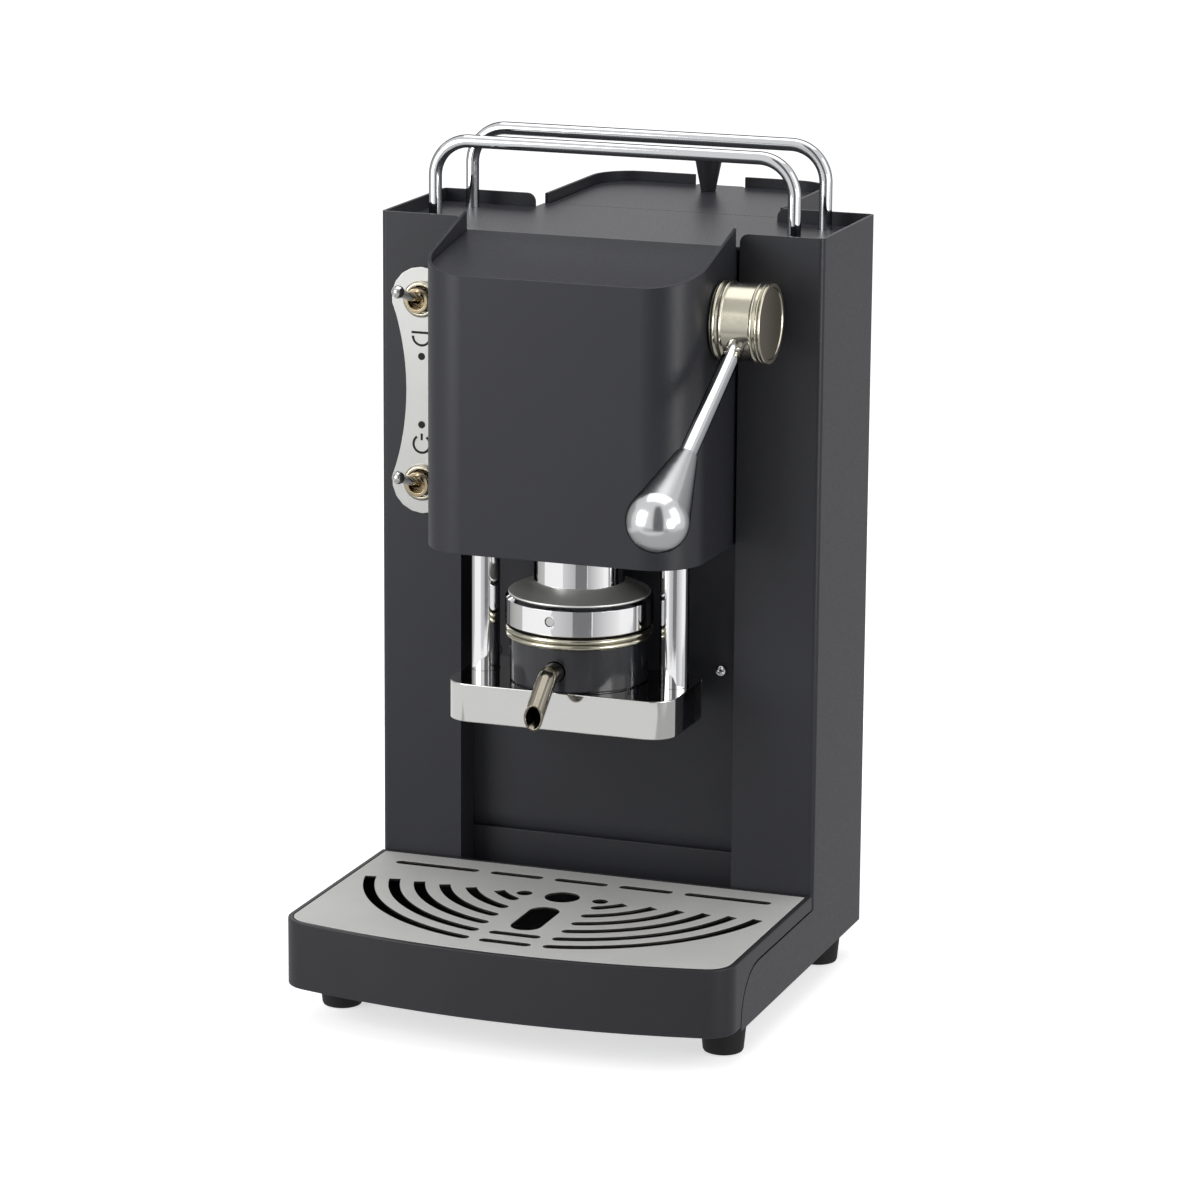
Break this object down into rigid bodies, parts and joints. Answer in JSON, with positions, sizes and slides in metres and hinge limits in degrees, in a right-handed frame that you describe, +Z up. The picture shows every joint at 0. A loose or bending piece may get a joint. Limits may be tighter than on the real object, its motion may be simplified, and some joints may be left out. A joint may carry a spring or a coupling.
{
  "type": "lever espresso machine",
  "caption": "Upright lever espresso machine for paper pods, with a sliding group head on columns, toggle switches, a slotted drip tray, cup rails and a rear water tank.",
  "frame": {"origin": "on the surface the machine stands on, under the middle of its overall width and depth", "axes": "+X to the viewer's right, +Y to the back, +Z up; the front faces -Y"},
  "size_m": [0.21, 0.3248, 0.3834],
  "materials": {
    "powder_coat": "charcoal powder coat with a fine texture",
    "black_plastic": "black moulded plastic, satin",
    "gloss_black": "black moulded plastic, polished",
    "rubber": "black rubber, matt",
    "chrome": "bright chrome plate",
    "brushed_steel": "stainless steel, brushed",
    "nickel": "satin nickel plate with a warm tone",
    "aluminium": "plain machined",
    "brass": "plain machined",
    "zinc_plated_steel": "zinc plate, dull",
    "clear_plastic": "clear moulded plastic",
    "coil_copper": "varnished copper winding"
  },
  "bodies": {
    "body": {"side_shell_left": "powder_coat", "side_shell_right": "powder_coat", "recess_wall": "powder_coat", "rear_wall": "powder_coat", "base_pan": "powder_coat", "hood": "powder_coat", "cup_plate": "powder_coat", "foot_front_left": "rubber", "foot_front_right": "rubber", "foot_rear_left": "rubber", "foot_rear_right": "rubber", "wall_screw_left": "zinc_plated_steel", "wall_screw_right": "zinc_plated_steel", "column_left": "chrome", "column_right": "chrome", "lower_block": "chrome", "pod_cup": "gloss_black", "seat_ring": "nickel", "spout": "nickel", "bridge": "aluminium", "bearing_block": "aluminium", "shaft_bush": "brass", "switch_plate": "brushed_steel", "toggle_switch_lower": "nickel", "toggle_switch_upper": "nickel", "toggle_nut_lower": "nickel", "toggle_nut_upper": "nickel", "rail_front": "chrome", "rail_rear": "chrome", "rail_nut_front_left": "zinc_plated_steel", "rail_nut_front_right": "zinc_plated_steel", "rail_nut_rear_left": "zinc_plated_steel", "rail_nut_rear_right": "zinc_plated_steel", "rear_housing": "powder_coat", "tank_shelf": "zinc_plated_steel", "power_inlet": "black_plastic", "pump_coil": "coil_copper", "pump_core": "brass", "pump_bracket": "zinc_plated_steel"},
    "lever": {"lever_hub": "nickel", "lever_rod": "chrome", "lever_knob": "chrome", "crank_shaft": "brushed_steel"},
    "group_head": {"gasket": "rubber", "head_flange": "chrome", "clamp_ring": "chrome", "grub_screw": "brushed_steel", "neck": "chrome", "shower_disc": "brushed_steel", "boiler": "brass", "thermostat": "black_plastic", "crosshead": "zinc_plated_steel"},
    "toggle_upper": {"toggle_bat_upper": "nickel"},
    "toggle_lower": {"toggle_bat_lower": "nickel"},
    "drip_tray": {"drip_tray": "black_plastic"},
    "grille": {"grille": "brushed_steel"},
    "water_tank": {"water_tank": "clear_plastic"},
    "tank_lid": {"tank_lid": "powder_coat", "lid_knob": "black_plastic"}
  },
  "joints": [
    {"name": "lever_lift", "type": "hinge", "parent": "body", "child": "lever", "pos_m": [0.07695, -0.033, 0.314], "axis": [-1, 0, 0], "range_deg": [0, 85]},
    {"name": "head_lift", "type": "slide", "parent": "body", "child": "group_head", "axis": [0, 0, 1], "range_m": [0, 0.015]},
    {"name": "upper_toggle_flip", "type": "hinge", "parent": "body", "child": "toggle_upper", "pos_m": [-0.0845, -0.0156, 0.3103], "axis": [1, 0, 0], "range_deg": [0, 34]},
    {"name": "lower_toggle_flip", "type": "hinge", "parent": "body", "child": "toggle_lower", "pos_m": [-0.0845, -0.0156, 0.2255], "axis": [1, 0, 0], "range_deg": [0, 34]},
    {"name": "tray_pull", "type": "slide", "parent": "body", "child": "drip_tray", "axis": [0, -1, 0], "range_m": [0, 0.125]},
    {"name": "grille_lift", "type": "slide", "parent": "drip_tray", "child": "grille", "axis": [0, 0, 1], "range_m": [0, 0.06]},
    {"name": "tank_lift", "type": "slide", "parent": "body", "child": "water_tank", "axis": [0, 0, 1], "range_m": [0, 0.2]},
    {"name": "lid_lift", "type": "slide", "parent": "water_tank", "child": "tank_lid", "axis": [0, 0, 1], "range_m": [0, 0.06]}
  ],
  "couplings": [
    {"joint": "head_lift", "follows": "lever_lift", "m_per_rad": 0.010019}
  ]
}
